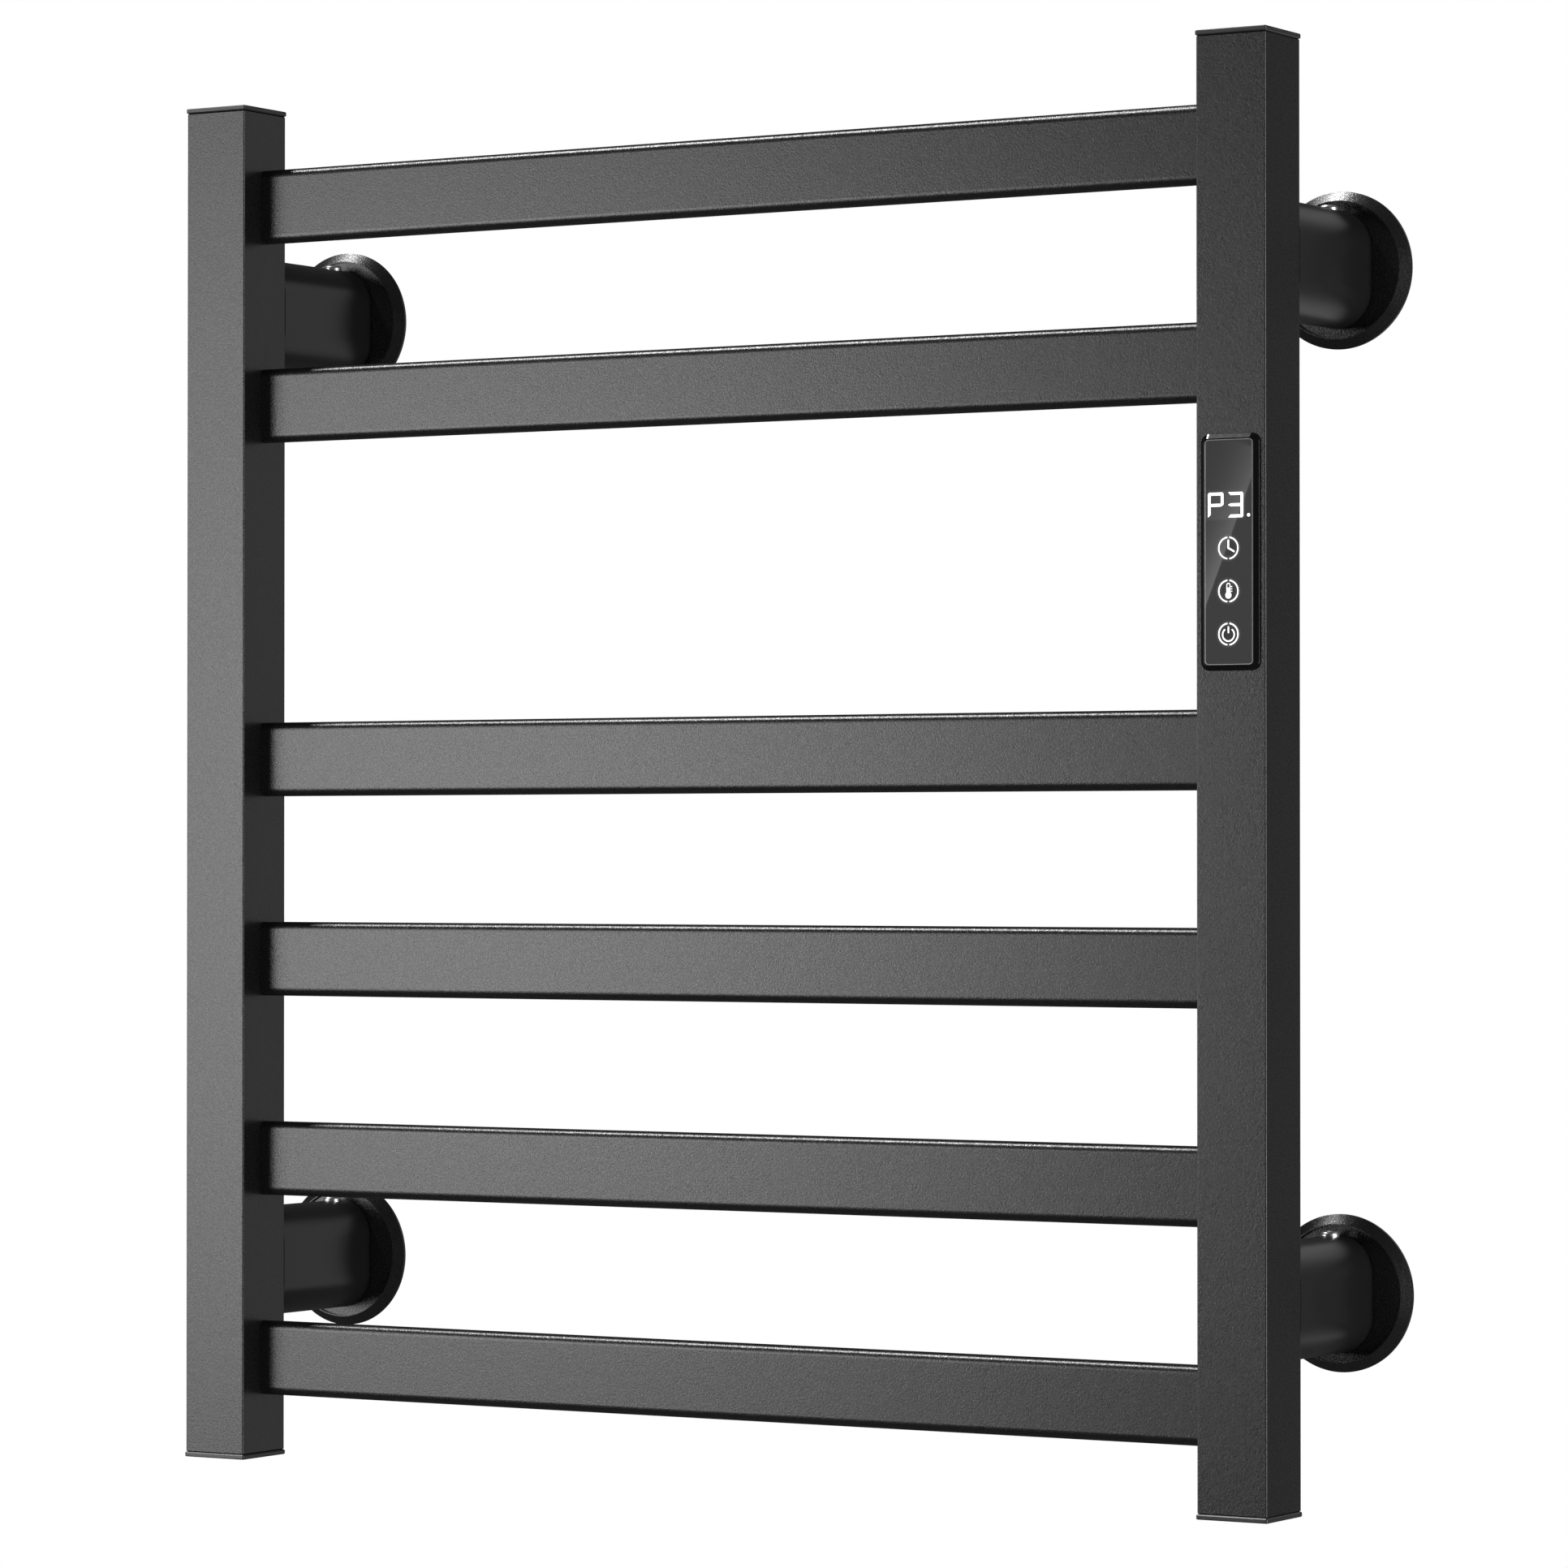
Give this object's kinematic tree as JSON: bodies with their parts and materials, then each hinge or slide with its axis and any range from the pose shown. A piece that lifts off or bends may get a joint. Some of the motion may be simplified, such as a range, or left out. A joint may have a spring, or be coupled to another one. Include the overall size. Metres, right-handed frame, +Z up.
{
  "type": "towel warmer rack",
  "caption": "Wall mounted electric towel warmer: square uprights, flat rungs with one wide gap, round wall rosettes and a lit touch panel.",
  "frame": {"origin": "centre of the four wall fixings, on the finished wall's plane", "axes": "+X to the right as seen from the room, +Y into the wall, so the front faces -Y, +Z up"},
  "size_m": [0.547, 0.0995, 0.576],
  "materials": {
    "powder_coat": "fine grained satin black powder coat",
    "cap_plastic": "black moulded cap, matched to the coat",
    "cast_base": "bare die cast",
    "screw_steel": "bright zinc plate",
    "rubber": "matte black",
    "bezel_plastic": "gloss black",
    "touch_glass": "smoked black panel glass",
    "circuit_board": "green solder mask",
    "display_module": "white light guide with black face",
    "lamp": "white lamp",
    "component_black": "moulded epoxy",
    "component_grey": "moulded case",
    "silicone": "pale silicone sheath",
    "tin_plate": "tinned",
    "aluminium_clip": "bare",
    "terminal_plastic": "natural nylon",
    "lead_brown": "brown sleeve",
    "lead_green": "green earth sleeve"
  },
  "bodies": {
    "wall_bases": {"wall_base_upper_left": "cast_base", "wall_base_upper_right": "cast_base", "wall_base_lower_left": "cast_base", "wall_base_lower_right": "cast_base", "rosette_upper_left": "powder_coat", "rosette_upper_right": "powder_coat", "rosette_lower_left": "powder_coat", "rosette_lower_right": "powder_coat", "inlet_grommet": "rubber"},
    "rack": {"left_upright": "powder_coat", "right_upright": "powder_coat", "rung_1": "powder_coat", "rung_2": "powder_coat", "rung_3": "powder_coat", "rung_4": "powder_coat", "rung_5": "powder_coat", "rung_6": "powder_coat", "end_cap_top_left": "cap_plastic", "end_cap_top_right": "cap_plastic", "end_cap_bottom_left": "cap_plastic", "end_cap_bottom_right": "cap_plastic", "standoff_upper_left": "powder_coat", "standoff_upper_right": "powder_coat", "standoff_lower_left": "powder_coat", "standoff_lower_right": "powder_coat", "locking_screws": "screw_steel", "control_bezel": "bezel_plastic", "bezel_gasket": "rubber", "touch_glass": "touch_glass", "glass_adhesive": "rubber", "display_board": "circuit_board", "digit_display": "display_module", "touch_springs": "screw_steel", "key_lamps": "lamp", "power_board": "circuit_board", "triac": "component_black", "capacitor": "component_grey", "box_cover": "bezel_plastic", "cover_screws": "screw_steel", "heating_cable": "silicone", "cable_splices": "tin_plate", "upper_cold_lead": "silicone", "lower_cold_lead": "silicone", "thermal_fuse": "tin_plate", "supply_leads": "lead_brown", "temperature_sensor": "tin_plate", "sensor_lead": "silicone", "sensor_clip": "aluminium_clip", "terminal_block": "terminal_plastic", "earth_stud": "screw_steel", "earth_ring": "tin_plate", "earth_nut": "screw_steel", "earth_lead": "lead_green"}
  },
  "joints": [
    {"name": "rack_slide", "type": "slide", "parent": "wall_bases", "child": "rack", "axis": [0, -1, 0], "range_m": [0, 0.02]}
  ]
}
